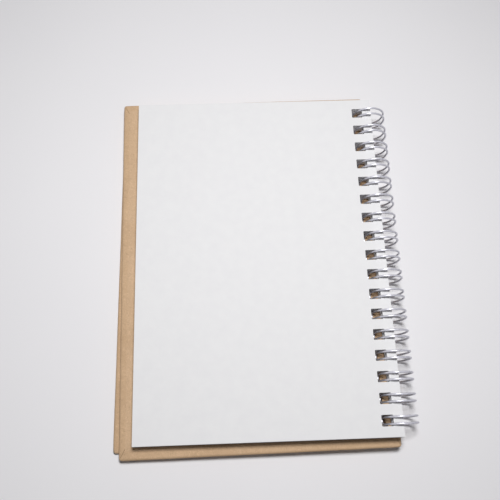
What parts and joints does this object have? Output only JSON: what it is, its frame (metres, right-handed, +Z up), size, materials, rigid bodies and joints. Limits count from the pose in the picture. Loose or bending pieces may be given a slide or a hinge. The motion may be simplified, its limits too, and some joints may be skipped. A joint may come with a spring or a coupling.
{
  "type": "spiral notebook",
  "caption": "Small hard-cover notebook with twin-loop wire binding, folded right back so its first blank leaf is on top and both kraft covers lie beneath.",
  "frame": {"origin": "centre of the bounding box, at the table", "axes": "+X from the pages toward the wire, +Y up the page toward its head, +Z up from the table"},
  "size_m": [0.1214, 0.1584, 0.015],
  "materials": {
    "binding_wire": "bright silver wire",
    "page_block": "matt white uncoated paper",
    "back_cover_board": "grey board, seen in the punched holes only",
    "back_cover_wrap": "matt kraft paper",
    "back_cover_lining": "matt kraft paper",
    "front_cover_board": "grey board, seen in the punched holes only",
    "front_cover_wrap": "matt kraft paper",
    "front_cover_lining": "matt kraft paper"
  },
  "bodies": {
    "back_cover": {"back_cover_board": "back_cover_board", "back_cover_wrap": "back_cover_wrap", "back_cover_lining": "back_cover_lining", "binding_wire": "binding_wire"},
    "leaves": {"page_block": "page_block"},
    "front_cover": {"front_cover_board": "front_cover_board", "front_cover_wrap": "front_cover_wrap", "front_cover_lining": "front_cover_lining"}
  },
  "joints": [
    {"name": "leaves_turn", "type": "hinge", "parent": "back_cover", "child": "leaves", "pos_m": [0.05322, -0.00002, 0.00752], "axis": [0, 1, 0], "range_deg": [0, 180]},
    {"name": "front_cover_turn", "type": "hinge", "parent": "back_cover", "child": "front_cover", "pos_m": [0.05322, -0.00002, 0.00752], "axis": [0, 1, 0], "range_deg": [-180, 0]}
  ]
}
